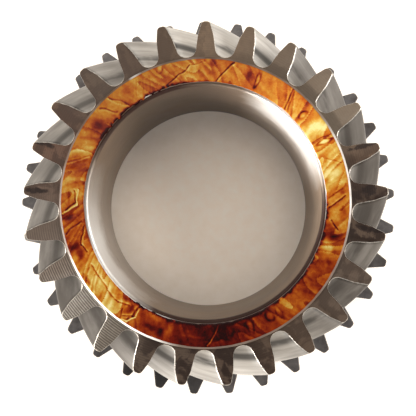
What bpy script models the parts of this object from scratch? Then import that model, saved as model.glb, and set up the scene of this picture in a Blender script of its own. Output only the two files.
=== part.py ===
"""Compound idler gear that turns on two rows of needle rollers.

A helical gear carries a straight-toothed ring gear on its rear journal. The ring is locked to the
journal by three dowels and held by a snap ring. The pair turns on caged needle rollers that run on
a plain sleeve, between two thrust washers that close the roller space at both ends.

The frame has +Z along the gear's axis, from the rear face to the front face, and its origin is on
the axis at the rear face. Lengths are in metres and angles in radians.
"""

import math

import bmesh
import bpy
from mathutils import Matrix, Vector

MM = 0.001
COLLECTION = "compound_idler_gear"

# Driving dimensions
OVERALL_LENGTH = 45.5 * MM
BORE_RADIUS = 31.3 * MM
FACE_GAP = 0.3 * MM  # between faces that touch on the real object

# Tooth shapes: (radius, half the tooth's thickness, rounding) where the straight lines of the
# flank, the root and the tip would meet
HELICAL_TOOTH = (
    (39.5 * MM, 2.95 * MM, 2.3 * MM),
    (45.2 * MM, 2.2 * MM, 4.0 * MM),
    (49.0 * MM, 1.1 * MM, 1.1 * MM),
)
RING_TOOTH = (
    (51.1 * MM, 3.5 * MM, 0.9 * MM),
    (57.5 * MM, 1.0 * MM, 0.9 * MM),
)

# Helical gear
HELICAL_TEETH = 25
HELICAL_PHASE = math.radians(0.25)  # first tooth at the front face, clockwise from +Y
HELIX_TURN_PER_METRE = math.radians(778.0)  # clockwise with depth, seen from the front
HELICAL_SECTIONS = 5

# Ring gear
RING_TEETH = 33
RING_PHASE = math.radians(-1.3)
RING_FRONT = 13.0 * MM
RING_REAR = 4.5 * MM

# Hub, journal and bearing
JOURNAL_RADIUS = 38.9 * MM
RACEWAY_RADIUS = 35.4 * MM
SLEEVE_WALL = 1.5 * MM
SLEEVE_CHAMFER = 0.5 * MM
WASHER_THICKNESS = 1.2 * MM
WASHER_INNER_RADIUS = 32.2 * MM
WASHER_OUTER_RADIUS = 39.0 * MM
WASHER_CHAMFER = 0.55 * MM
END_PLAY = 0.2 * MM

# Needle rollers and their cages
ROLLERS_PER_ROW = 18
ROLLER_RADIUS = 1.2 * MM
ROLLER_LENGTH = 14.0 * MM
ROLLER_SIDES = 12
ROLLER_CLEARANCE = 0.15 * MM
CAGE_THICKNESS = 1.6 * MM
CAGE_LENGTH = 18.4 * MM
CAGE_CLEARANCE = 0.4 * MM
SPACER_LENGTH = 3.0 * MM

# Retaining parts
DOWEL_COUNT = 3
DOWEL_PHASE = math.radians(90)  # keeps the dowels away from the snap ring's gap
DOWEL_RADIUS = 2.0 * MM
DOWEL_FRONT = 11.0 * MM
DOWEL_SIDES = 16
SNAP_RING_THICKNESS = 1.2 * MM
SNAP_RING_INNER_RADIUS = 37.9 * MM
SNAP_RING_OUTER_RADIUS = 42.0 * MM
SNAP_RING_GAP = 8.0 * MM
SNAP_GROOVE_RADIUS = 37.5 * MM

# Facets
ROUND_SEGMENTS = 72
CAGE_SEGMENTS = 3 * ROLLERS_PER_ROW
ARC_STEPS = 2
OVERCUT = 5.0 * MM  # how far a cutter runs past the wall that it cuts

# Derived places along the axis
SLEEVE_REAR = WASHER_THICKNESS + FACE_GAP
SLEEVE_FRONT = OVERALL_LENGTH - SLEEVE_REAR
HUB_REAR = SLEEVE_REAR + END_PLAY
HUB_FRONT = SLEEVE_FRONT - END_PLAY
TEETH_REAR = RING_FRONT + FACE_GAP
SNAP_RING_FRONT = RING_REAR - FACE_GAP
SNAP_RING_REAR = SNAP_RING_FRONT - SNAP_RING_THICKNESS
MIDDLE = OVERALL_LENGTH / 2
SLEEVE_OUTER_RADIUS = BORE_RADIUS + SLEEVE_WALL
PITCH_RADIUS = (SLEEVE_OUTER_RADIUS + RACEWAY_RADIUS) / 2
CAGE_OFFSET = (SPACER_LENGTH + CAGE_LENGTH) / 2 + CAGE_CLEARANCE

FINISHES = {
    "bright_steel": ((0.50, 0.49, 0.47, 1.0), 0.35, 1.0),
    "dark_steel": ((0.11, 0.10, 0.10, 1.0), 0.45, 1.0),
    "satin_steel": ((0.42, 0.39, 0.36, 1.0), 0.40, 1.0),
    "lacquered_bronze": ((0.62, 0.22, 0.04, 1.0), 0.20, 0.6),
    "cage_brass": ((0.60, 0.42, 0.16, 1.0), 0.40, 1.0),
    "roller_steel": ((0.62, 0.62, 0.62, 1.0), 0.15, 1.0),
}


# ---------------------------------------------------------------- scene helpers


def clear_scene():
    """Removes every object, so that the model starts from an empty scene."""
    for obj in list(bpy.data.objects):
        bpy.data.objects.remove(obj, do_unlink=True)


def new_collection(name):
    """A collection of this name, linked to the scene."""
    collection = bpy.data.collections.new(name)
    bpy.context.scene.collection.children.link(collection)
    return collection


def make_materials():
    """One Principled BSDF material for each finish."""
    materials = {}
    for name, (colour, roughness, metallic) in FINISHES.items():
        material = bpy.data.materials.new(name)
        material.use_nodes = True
        shader = material.node_tree.nodes["Principled BSDF"]
        shader.inputs["Base Color"].default_value = colour
        shader.inputs["Roughness"].default_value = roughness
        shader.inputs["Metallic"].default_value = metallic
        materials[name] = material
    return materials


class Workshop:
    """Where finished pieces and the tools that cut them are kept."""

    def __init__(self):
        self.pieces = new_collection(COLLECTION)
        self.tools = new_collection("cutters")
        self.materials = make_materials()

    def piece(self, name, mesh, finish, location=(0, 0, 0), angle=0.0):
        """A finished piece, smooth-shaded up to 30 degrees."""
        obj = bpy.data.objects.new(name, mesh)
        obj.location = location
        obj.rotation_euler.z = angle
        if not mesh.materials:
            mesh.materials.append(self.materials[finish])
        mesh.shade_smooth()
        mesh.set_sharp_from_angle(angle=math.radians(30))
        self.pieces.objects.link(obj)
        return obj

    def tool(self, name, mesh):
        """A helper that only shapes other pieces."""
        obj = bpy.data.objects.new(name, mesh)
        obj.display_type = "WIRE"
        obj.hide_render = True
        self.tools.objects.link(obj)
        return obj


def apply_boolean(obj, tool, operation):
    """Adds a Boolean modifier that joins or cuts obj with tool."""
    modifier = obj.modifiers.new(f"{operation.lower()}_{tool.name}", "BOOLEAN")
    modifier.operation = operation
    modifier.solver = "EXACT"
    modifier.object = tool


# ---------------------------------------------------------------- shapes


def turn_profile(obj, segments):
    """Turns a profile in the XZ plane once round the Z axis."""
    screw = obj.modifiers.new("turn", "SCREW")
    screw.axis = "Z"
    screw.steps = segments
    screw.render_steps = segments
    screw.use_merge_vertices = True
    screw.merge_threshold = 0.001 * MM


def ring_profile(name, inner, outer, rear, front, chamfer=0.0, inner_chamfer=0.0):
    """A closed ring section, listed from its outer top corner down the outside and up the bore."""
    points = [
        (outer, front - chamfer),
        (outer, rear + chamfer),
        (outer - chamfer, rear),
        (inner + inner_chamfer, rear),
        (inner, rear + inner_chamfer),
        (inner, front - inner_chamfer),
        (inner + inner_chamfer, front),
        (outer - chamfer, front),
    ]
    points = list(dict.fromkeys(points))
    count = len(points)
    mesh = bpy.data.meshes.new(name)
    corners = [(radius, 0, height) for radius, height in points]
    edges = [(i, (i + 1) % count) for i in range(count)]
    mesh.from_pydata(corners, edges, [])
    return mesh


def cylinder_mesh(name, radius, rear, front, sides, centres=((0, 0),)):
    """One closed mesh of upright cylinders, one at each centre."""
    shape = bmesh.new()
    for x, y in centres:
        bmesh.ops.create_cone(
            shape,
            cap_ends=True,
            segments=sides,
            radius1=radius,
            radius2=radius,
            depth=front - rear,
            matrix=Matrix.Translation((x, y, (rear + front) / 2)),
        )
    mesh = bpy.data.meshes.new(name)
    shape.to_mesh(mesh)
    shape.free()
    return mesh


def rounded_corner(before, corner, after, radius):
    """Points along the arc of this radius that rounds off one corner of an outline."""
    to_before = (before - corner).normalized()
    to_after = (after - corner).normalized()
    half_angle = to_before.angle(to_after) / 2
    reach = radius / math.tan(half_angle)
    bisector = (to_before + to_after).normalized()
    centre = corner + bisector * (radius / math.sin(half_angle))
    start = corner + to_before * reach - centre
    end = corner + to_after * reach - centre
    sweep = -start.angle_signed(end)
    turns = [Matrix.Rotation(sweep * step / ARC_STEPS, 2) for step in range(ARC_STEPS + 1)]
    return [centre + turn @ start for turn in turns]


def gear_outline(teeth, tooth, phase):
    """The transverse outline of a gear as points round the axis, anticlockwise from above."""
    pitch = math.tau / teeth
    first_side = [(radius, -half_width, rounding) for radius, half_width, rounding in tooth]
    both_sides = first_side + list(reversed(tooth))
    corners = []
    for index in range(teeth):
        middle = math.pi / 2 - phase + index * pitch
        for radius, half_width, rounding in both_sides:
            angle = middle + half_width / radius
            place = Vector((radius * math.cos(angle), radius * math.sin(angle)))
            corners.append((place, rounding))
    outline = []
    for index, (corner, rounding) in enumerate(corners):
        before = corners[index - 1][0]
        after = corners[(index + 1) % len(corners)][0]
        outline += rounded_corner(before, corner, after, rounding)
    return outline


def twisted_prism(name, outline, rear, front, turn_per_metre=0.0, sections=1):
    """The solid that an outline sweeps from the front face to the rear face as it turns."""
    shape = bmesh.new()
    corners = [shape.verts.new((point.x, point.y, front)) for point in outline]
    front_face = shape.faces.new(corners)
    swept = bmesh.ops.spin(
        shape,
        geom=list(front_face.edges),
        cent=(0, 0, 0),
        axis=(0, 0, 1),
        dvec=(0, 0, (rear - front) / sections),
        angle=turn_per_metre * (rear - front),
        steps=sections,
    )
    rear_edges = [item for item in swept["geom_last"] if isinstance(item, bmesh.types.BMEdge)]
    bmesh.ops.holes_fill(shape, edges=rear_edges, sides=0)
    bmesh.ops.recalc_face_normals(shape, faces=shape.faces)
    mesh = bpy.data.meshes.new(name)
    shape.to_mesh(mesh)
    shape.free()
    return mesh


def around_axis(count, radius, phase=0.0):
    """Evenly spaced places on a circle round the axis, with their angles from +X."""
    places = []
    for index in range(count):
        angle = phase + index * math.tau / count
        places.append((radius * math.cos(angle), radius * math.sin(angle), angle))
    return places


# ---------------------------------------------------------------- pieces


def dowel_places():
    """Where the dowels stand, half in the journal and half in the ring gear."""
    radius = JOURNAL_RADIUS + FACE_GAP / 2
    return [(x, y) for x, y, _ in around_axis(DOWEL_COUNT, radius, DOWEL_PHASE)]


def dowel_holes(shop):
    """The cutter for the three dowel holes, open at the rear."""
    rear = HUB_REAR - OVERCUT
    front = DOWEL_FRONT + FACE_GAP
    mesh = cylinder_mesh("dowel_holes", DOWEL_RADIUS + FACE_GAP, rear, front, DOWEL_SIDES, dowel_places())
    return shop.tool("dowel_holes", mesh)


def make_helical_gear(shop, holes):
    """The helical gear with its rear journal, raceway bore and snap ring groove."""
    outline = gear_outline(HELICAL_TEETH, HELICAL_TOOTH, HELICAL_PHASE)
    mesh = twisted_prism(
        "helical_gear", outline, TEETH_REAR, HUB_FRONT, HELIX_TURN_PER_METRE, HELICAL_SECTIONS
    )
    gear = shop.piece("helical_gear", mesh, "bright_steel")
    journal = cylinder_mesh("journal", JOURNAL_RADIUS, HUB_REAR, TEETH_REAR + OVERCUT, ROUND_SEGMENTS)
    apply_boolean(gear, shop.tool("journal", journal), "UNION")
    raceway = cylinder_mesh(
        "raceway", RACEWAY_RADIUS, HUB_REAR - OVERCUT, HUB_FRONT + OVERCUT, ROUND_SEGMENTS
    )
    apply_boolean(gear, shop.tool("raceway", raceway), "DIFFERENCE")
    groove_mesh = ring_profile(
        "snap_groove",
        SNAP_GROOVE_RADIUS,
        JOURNAL_RADIUS + OVERCUT,
        SNAP_RING_REAR - FACE_GAP,
        SNAP_RING_FRONT + FACE_GAP,
    )
    groove = shop.tool("snap_groove", groove_mesh)
    turn_profile(groove, ROUND_SEGMENTS)
    apply_boolean(gear, groove, "DIFFERENCE")
    apply_boolean(gear, holes, "DIFFERENCE")


def make_ring_gear(shop, holes):
    """The straight-toothed ring that sits on the journal, against the helical teeth."""
    outline = gear_outline(RING_TEETH, RING_TOOTH, RING_PHASE)
    mesh = twisted_prism("ring_gear", outline, RING_REAR, RING_FRONT)
    ring = shop.piece("ring_gear", mesh, "dark_steel")
    seat = cylinder_mesh(
        "ring_seat",
        JOURNAL_RADIUS + FACE_GAP,
        RING_REAR - OVERCUT,
        RING_FRONT + OVERCUT,
        ROUND_SEGMENTS,
    )
    apply_boolean(ring, shop.tool("ring_seat", seat), "DIFFERENCE")
    apply_boolean(ring, holes, "DIFFERENCE")


def make_dowels(shop):
    """The dowels that lock the ring gear to the journal."""
    length = DOWEL_FRONT - RING_REAR
    mesh = cylinder_mesh("dowel", DOWEL_RADIUS, 0, length, DOWEL_SIDES)
    for number, (x, y) in enumerate(dowel_places(), start=1):
        shop.piece(f"dowel_{number}", mesh, "roller_steel", location=(x, y, RING_REAR))


def make_snap_ring(shop):
    """The split ring in the journal's groove, behind the ring gear."""
    mesh = ring_profile(
        "snap_ring",
        SNAP_RING_INNER_RADIUS,
        SNAP_RING_OUTER_RADIUS,
        SNAP_RING_REAR,
        SNAP_RING_FRONT,
    )
    ring = shop.piece("snap_ring", mesh, "dark_steel")
    turn_profile(ring, ROUND_SEGMENTS)
    shape = bmesh.new()
    reach = SNAP_RING_OUTER_RADIUS + OVERCUT
    size = Matrix.Diagonal((SNAP_RING_GAP, reach, SNAP_RING_THICKNESS + 2 * OVERCUT, 1))
    middle = (SNAP_RING_REAR + SNAP_RING_FRONT) / 2
    bmesh.ops.create_cube(shape, size=1, matrix=Matrix.Translation((0, -reach / 2, middle)) @ size)
    split = bpy.data.meshes.new("snap_ring_split")
    shape.to_mesh(split)
    shape.free()
    apply_boolean(ring, shop.tool("snap_ring_split", split), "DIFFERENCE")


def make_sleeve(shop):
    """The inner race, whose bore fits the shaft."""
    mesh = ring_profile(
        "inner_sleeve",
        BORE_RADIUS,
        SLEEVE_OUTER_RADIUS,
        SLEEVE_REAR,
        SLEEVE_FRONT,
        inner_chamfer=SLEEVE_CHAMFER,
    )
    turn_profile(shop.piece("inner_sleeve", mesh, "satin_steel"), ROUND_SEGMENTS)


def make_washers(shop):
    """The thrust washers that close both ends of the roller space."""
    for name, rear, finish in (
        ("rear_thrust_washer", 0.0, "satin_steel"),
        ("front_thrust_washer", OVERALL_LENGTH - WASHER_THICKNESS, "lacquered_bronze"),
    ):
        mesh = ring_profile(
            name,
            WASHER_INNER_RADIUS,
            WASHER_OUTER_RADIUS,
            rear,
            rear + WASHER_THICKNESS,
            chamfer=WASHER_CHAMFER,
        )
        turn_profile(shop.piece(name, mesh, finish), ROUND_SEGMENTS)


def window_tool(shop, name, centre):
    """The cutter for one cage's roller windows."""
    shape = bmesh.new()
    width = 2 * (ROLLER_RADIUS + ROLLER_CLEARANCE)
    length = ROLLER_LENGTH + 2 * ROLLER_CLEARANCE
    size = Matrix.Diagonal((CAGE_THICKNESS + OVERCUT, width, length, 1))
    for x, y, angle in around_axis(ROLLERS_PER_ROW, PITCH_RADIUS):
        place = Matrix.Translation((x, y, centre)) @ Matrix.Rotation(angle, 4, "Z")
        bmesh.ops.create_cube(shape, size=1, matrix=place @ size)
    mesh = bpy.data.meshes.new(f"{name}_windows")
    shape.to_mesh(mesh)
    shape.free()
    return shop.tool(f"{name}_windows", mesh)


def make_bearing_row(shop, row, centre):
    """One cage and its needle rollers, centred at this height."""
    name = f"{row}_cage"
    mesh = ring_profile(
        name,
        PITCH_RADIUS - CAGE_THICKNESS / 2,
        PITCH_RADIUS + CAGE_THICKNESS / 2,
        centre - CAGE_LENGTH / 2,
        centre + CAGE_LENGTH / 2,
    )
    half_facet = math.pi / CAGE_SEGMENTS
    mesh.transform(Matrix.Rotation(half_facet, 4, "Z"))
    cage = shop.piece(name, mesh, "cage_brass")
    turn_profile(cage, CAGE_SEGMENTS)
    apply_boolean(cage, window_tool(shop, name, centre), "DIFFERENCE")
    half_length = ROLLER_LENGTH / 2
    roller = cylinder_mesh(f"{row}_roller", ROLLER_RADIUS, -half_length, half_length, ROLLER_SIDES)
    for number, (x, y, angle) in enumerate(around_axis(ROLLERS_PER_ROW, PITCH_RADIUS), start=1):
        place = (x, y, centre)
        shop.piece(f"{row}_roller_{number:02d}", roller, "roller_steel", place, angle)


def make_spacer(shop):
    """The ring that keeps the two cages apart."""
    mesh = ring_profile(
        "cage_spacer",
        PITCH_RADIUS - CAGE_THICKNESS / 2,
        PITCH_RADIUS + CAGE_THICKNESS / 2,
        MIDDLE - SPACER_LENGTH / 2,
        MIDDLE + SPACER_LENGTH / 2,
    )
    turn_profile(shop.piece("cage_spacer", mesh, "cage_brass"), CAGE_SEGMENTS)


def main():
    clear_scene()
    shop = Workshop()
    holes = dowel_holes(shop)
    make_helical_gear(shop, holes)
    make_ring_gear(shop, holes)
    make_dowels(shop)
    make_snap_ring(shop)
    make_sleeve(shop)
    make_washers(shop)
    make_bearing_row(shop, "rear", MIDDLE - CAGE_OFFSET)
    make_bearing_row(shop, "front", MIDDLE + CAGE_OFFSET)
    make_spacer(shop)


main()
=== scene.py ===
"""Looks of the compound idler gear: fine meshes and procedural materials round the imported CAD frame.

Lengths are in metres and angles in radians unless a name says otherwise. Compass angles run
clockwise from +Y, seen from the front face (+Z).
"""

import math

import bmesh
import bpy
from mathutils import Matrix, Vector, noise


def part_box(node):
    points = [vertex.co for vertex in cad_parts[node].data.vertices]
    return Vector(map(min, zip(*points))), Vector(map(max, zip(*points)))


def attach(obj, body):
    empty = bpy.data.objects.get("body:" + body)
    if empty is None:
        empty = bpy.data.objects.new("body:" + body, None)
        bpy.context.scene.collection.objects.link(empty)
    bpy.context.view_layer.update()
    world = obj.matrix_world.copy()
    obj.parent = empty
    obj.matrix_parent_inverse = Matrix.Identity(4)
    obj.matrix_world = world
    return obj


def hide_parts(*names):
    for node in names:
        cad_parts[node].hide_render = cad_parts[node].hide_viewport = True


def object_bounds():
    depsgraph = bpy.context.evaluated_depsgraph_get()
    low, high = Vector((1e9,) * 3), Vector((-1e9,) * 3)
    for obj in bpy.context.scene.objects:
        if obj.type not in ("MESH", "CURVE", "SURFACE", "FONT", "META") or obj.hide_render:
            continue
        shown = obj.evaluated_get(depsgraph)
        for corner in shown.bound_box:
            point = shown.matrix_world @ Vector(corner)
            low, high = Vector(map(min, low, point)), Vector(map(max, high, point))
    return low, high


MM = 0.001

# What the frame's boxes can't say: the tooth shapes, as in the CAD model
# (radius, half thickness, rounding) where the straight lines of root, flank and tip meet
HELICAL_TOOTH = (
    (39.5 * MM, 2.95 * MM, 2.3 * MM),
    (45.2 * MM, 2.2 * MM, 4.0 * MM),
    (49.0 * MM, 1.1 * MM, 1.1 * MM),
)
RING_TOOTH = (
    (51.1 * MM, 3.5 * MM, 0.9 * MM),
    (57.5 * MM, 1.0 * MM, 0.9 * MM),
)
HELICAL_TEETH = 25
HELICAL_PHASE = math.radians(0.25)
HELIX_TURN_PER_METRE = math.radians(778.0)
RING_TEETH = 33
RING_PHASE = math.radians(-1.3)
JOURNAL_RADIUS = 38.9 * MM
RACEWAY_RADIUS = 35.4 * MM
SNAP_GROOVE_RADIUS = 37.5 * MM
SLEEVE_BORE_RADIUS = 31.3 * MM
WASHER_INNER_RADIUS = 32.2 * MM
FACE_GAP = 0.3 * MM  # as in the CAD model
SIDE_GAP = 0.05 * MM  # fine clearance between neighbours in the visible model
DOWELS = ("dowel_1", "dowel_2", "dowel_3")

# Edges of the visible model
EDGE_BREAK = 0.12 * MM
WASHER_CHAMFER = 0.75 * MM
WASHER_CHAMFER_DEPTH = 0.8 * WASHER_CHAMFER
WASHER_EDGE = 0.05 * MM
SLEEVE_CHAMFER = 0.5 * MM
PIN_CHAMFER_SHARE = 0.25  # of the radius, on needles and dowels
PIN_MIDDLE_SHARE = 0.02  # of the radius, flat in the middle of each end
FILM_EDGE = 0.62 * MM  # how far inside the washer's rim the film stops
FILM_THICKNESS = 0.2 * MM
FILM_LAP = 0.02 * MM  # how far the film's underside lies in the washer's metal
FILM_RIM_TONE = 0.9
CREASE_WIDTH = 0.17 * MM
CREASE_REACH = 4  # degrees past a crease's ends where it's still felt

# Fineness of the meshes
FLANK_STEPS = 3
ARC_STEPS = 5
HELICAL_SECTIONS = 26
RACEWAY_SECTIONS = 16
ROUND_STEPS = 240
PIN_STEPS = 28
FILM_STEPS = 1080
FILM_RINGS = 26

# Camera, from where the object's circles show
CAMERA_PLACE = Vector((4.86, -8.64, 246.2)) * MM
CAMERA_SLOPE = Vector((-0.020, 0.0351, -1.0))
FIELD_OF_VIEW = math.radians(30.73)
NEAREST_SEEN = 0.01

# Stage
FLOOR_HALF_WIDTH = 12.0
FLOOR_DROP = 0.02 * MM
WORLD_COLOUR = (1.0, 0.985, 0.96, 1)
WORLD_LIGHT = 0.30
WORLD_SEEN = 0.82  # to the camera, so that a low view's horizon is pale
LAMP_DISTANCE = 0.7
# (name, compass degrees, degrees above the floor, width, watts): soft lamps aimed at the part
LAMPS = (
    ("window_left", 232, 25, 0.30, 4.2),
    ("window_right", 78, 36, 0.30, 2.8),
    ("ceiling", 345, 66, 0.45, 1.35),
    ("strip_left", 268, 12, 0.25, 2.6),
    ("strip_right", 95, 12, 0.25, 1.9),
)
BORE_LAMP_DISTANCE = 0.4
BORE_LAMP_RADIUS = 0.02
BORE_LAMP_CONE = math.radians(7)
# (name, compass degrees, degrees above the floor, depth in the bore, watts): aimed at the bore's far wall
BORE_LAMPS = (
    ("bore_right", 228, 22, 1 * MM, 24.0),
    ("bore_left", 68, 40, 14 * MM, 1.5),
)

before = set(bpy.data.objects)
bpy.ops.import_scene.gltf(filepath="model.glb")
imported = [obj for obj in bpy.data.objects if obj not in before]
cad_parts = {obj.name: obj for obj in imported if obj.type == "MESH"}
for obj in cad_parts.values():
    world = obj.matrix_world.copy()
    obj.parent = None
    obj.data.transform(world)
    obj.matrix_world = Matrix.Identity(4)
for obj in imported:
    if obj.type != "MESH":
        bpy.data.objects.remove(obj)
cad_low, cad_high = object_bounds()


# ---------------------------------------------------------------- mesh helpers


def rounded_corner(before, corner, after, radius):
    """Points along the arc of this radius that rounds off one corner of an outline."""
    to_before = (before - corner).normalized()
    to_after = (after - corner).normalized()
    half_angle = to_before.angle(to_after) / 2
    reach = radius / math.tan(half_angle)
    bisector = (to_before + to_after).normalized()
    centre = corner + bisector * (radius / math.sin(half_angle))
    start = corner + to_before * reach - centre
    end = corner + to_after * reach - centre
    sweep = -start.angle_signed(end)
    turns = [Matrix.Rotation(sweep * step / ARC_STEPS, 2) for step in range(ARC_STEPS + 1)]
    return [centre + turn @ start for turn in turns]


def gear_outline(teeth, tooth, phase):
    """The transverse outline of a gear as points round the axis, anticlockwise from above."""
    pitch = math.tau / teeth
    first_side = [(radius, -half_width, rounding) for radius, half_width, rounding in tooth]
    both_sides = first_side + list(reversed(tooth))
    corners = []
    for index in range(teeth):
        middle = math.pi / 2 - phase + index * pitch
        for radius, half_width, rounding in both_sides:
            angle = middle + half_width / radius
            place = Vector((radius * math.cos(angle), radius * math.sin(angle)))
            corners.append((place, rounding))
    arcs = []
    for index, (corner, rounding) in enumerate(corners):
        before = corners[index - 1][0]
        after = corners[(index + 1) % len(corners)][0]
        arcs.append(rounded_corner(before, corner, after, rounding))
    outline = []
    for arc, following in zip(arcs, arcs[1:] + arcs[:1]):
        outline += arc
        straight = [arc[-1].lerp(following[0], step / FLANK_STEPS) for step in range(1, FLANK_STEPS)]
        outline += straight
    return outline


def shrunk(outline, amount):
    """The outline moved inwards by this amount along its own normals."""
    moved = []
    for index, point in enumerate(outline):
        along = outline[(index + 1) % len(outline)] - outline[index - 1]
        moved.append(point - Vector((along.y, -along.x)).normalized() * amount)
    return moved


def at_height(outline, height, turn=0.0):
    """The outline's points in space at this height, turned about the axis."""
    rotation = Matrix.Rotation(turn, 2)
    return [(rotation @ point).to_3d() + Vector((0, 0, height)) for point in outline]


def dowel_holes():
    """(centre, radius) of each dowel's hole, seen along the axis."""
    low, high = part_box(DOWELS[0])
    hole_radius = (high.x - low.x) / 2 + SIDE_GAP
    holes = []
    for dowel in DOWELS:
        low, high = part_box(dowel)
        holes.append((((low + high) / 2).xy, hole_radius))
    return holes


def notched(angle, radius, holes, inward):
    """How far out a wall of this radius lies in a direction, where a hole may notch it."""
    heading = Vector((math.cos(angle), math.sin(angle)))
    reach = radius
    for spot, hole_radius in holes:
        along = heading.dot(spot)
        aside = abs(heading.cross(spot))
        if along > 0 and aside < hole_radius:
            half = math.sqrt(hole_radius * hole_radius - aside * aside)
            reach = min(reach, along - half) if inward else max(reach, along + half)
    return reach


def circle_under(outline, radius, height, turn=0.0, notch=None):
    """A circle with a point in the direction of each of the turned outline's points.

    The dowels' holes notch it "inward" or "outward", or not at all.
    """
    holes = dowel_holes() if notch else []
    points = []
    for point in outline:
        angle = math.atan2(point.y, point.x) + turn
        reach = notched(angle, radius, holes, notch == "inward")
        points.append(Vector((reach * math.cos(angle), reach * math.sin(angle), height)))
    return points


def circle_points(radius, height, steps, middle=(0.0, 0.0)):
    """Evenly spaced points on a circle round a vertical line through the middle."""
    points = []
    for index in range(steps):
        angle = math.tau * index / steps
        x = middle[0] + radius * math.cos(angle)
        y = middle[1] + radius * math.sin(angle)
        points.append(Vector((x, y, height)))
    return points


def new_object(name, mesh, materials, sharp_degrees=32):
    """An object with this mesh and these materials, shaded smooth between its sharp edges."""
    for material in materials:
        mesh.materials.append(material)
    mesh.shade_smooth()
    mesh.set_sharp_from_angle(angle=math.radians(sharp_degrees))
    obj = bpy.data.objects.new(name, mesh)
    bpy.context.scene.collection.objects.link(obj)
    return obj


def mesh_from(shape, name):
    """The mesh that this shape gives, which uses the shape up."""
    mesh = bpy.data.meshes.new(name)
    shape.to_mesh(mesh)
    shape.free()
    return mesh


def band_of_faces(shape, upper, lower):
    """The faces between two rings with as many vertices."""
    faces = []
    for index in range(len(upper)):
        after = (index + 1) % len(upper)
        faces.append(shape.faces.new((upper[index], lower[index], lower[after], upper[after])))
    return faces


def loft_mesh(name, rings, finishes=()):
    """A closed mesh through the rings and back to the first, with a finish for each band if given."""
    shape = bmesh.new()
    rows = [[shape.verts.new(point) for point in ring] for ring in rings]
    for band, upper in enumerate(rows):
        faces = band_of_faces(shape, upper, rows[(band + 1) % len(rows)])
        if finishes:
            for face in faces:
                face.material_index = finishes[band]
    bmesh.ops.recalc_face_normals(shape, faces=shape.faces)
    return mesh_from(shape, name)


def pin_mesh(name, low, high):
    """A pin along Z that fills this box, with rounded ends."""
    middle = ((low + high) / 2).xy
    radius = (high.y - low.y) / 2
    edge = radius * PIN_CHAMFER_SHARE
    half_profile = [
        (radius * PIN_MIDDLE_SHARE, 0.0),
        (radius - edge, 0.0),
        (radius - edge * 0.3, edge * 0.3),
        (radius, edge),
    ]
    profile = [(reach, high.z - depth) for reach, depth in half_profile]
    profile += [(reach, low.z + depth) for reach, depth in reversed(half_profile)]
    shape = bmesh.new()
    rows = []
    for reach, height in profile:
        points = circle_points(reach, height, PIN_STEPS, middle)
        rows.append([shape.verts.new(point) for point in points])
    for upper, lower in zip(rows, rows[1:]):
        band_of_faces(shape, upper, lower)
    shape.faces.new(rows[0])
    shape.faces.new(rows[-1])
    bmesh.ops.recalc_face_normals(shape, faces=shape.faces)
    return mesh_from(shape, name)


def turned_mesh(name, profile):
    """A ring turned from a closed profile of (radius, height) points."""
    return loft_mesh(name, [circle_points(radius, height, ROUND_STEPS) for radius, height in profile])


def rounded_ring_profile(inner, outer, rear, front, edge):
    """A ring's section with all four edges broken."""
    return [
        (outer - edge, front),
        (outer, front - edge),
        (outer, rear + edge),
        (outer - edge, rear),
        (inner + edge, rear),
        (inner, rear + edge),
        (inner, front - edge),
        (inner + edge, front),
    ]


def wavy(place, scale, seed):
    """Smooth noise from -1 to 1 with features of about this size."""
    return noise.noise(place / scale + Vector((seed, -seed, seed * 0.37)))


# ---------------------------------------------------------------- shader helpers


WAVE_RADIANS = 20.0  # per metre in the wave texture, at a scale of 1


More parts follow.
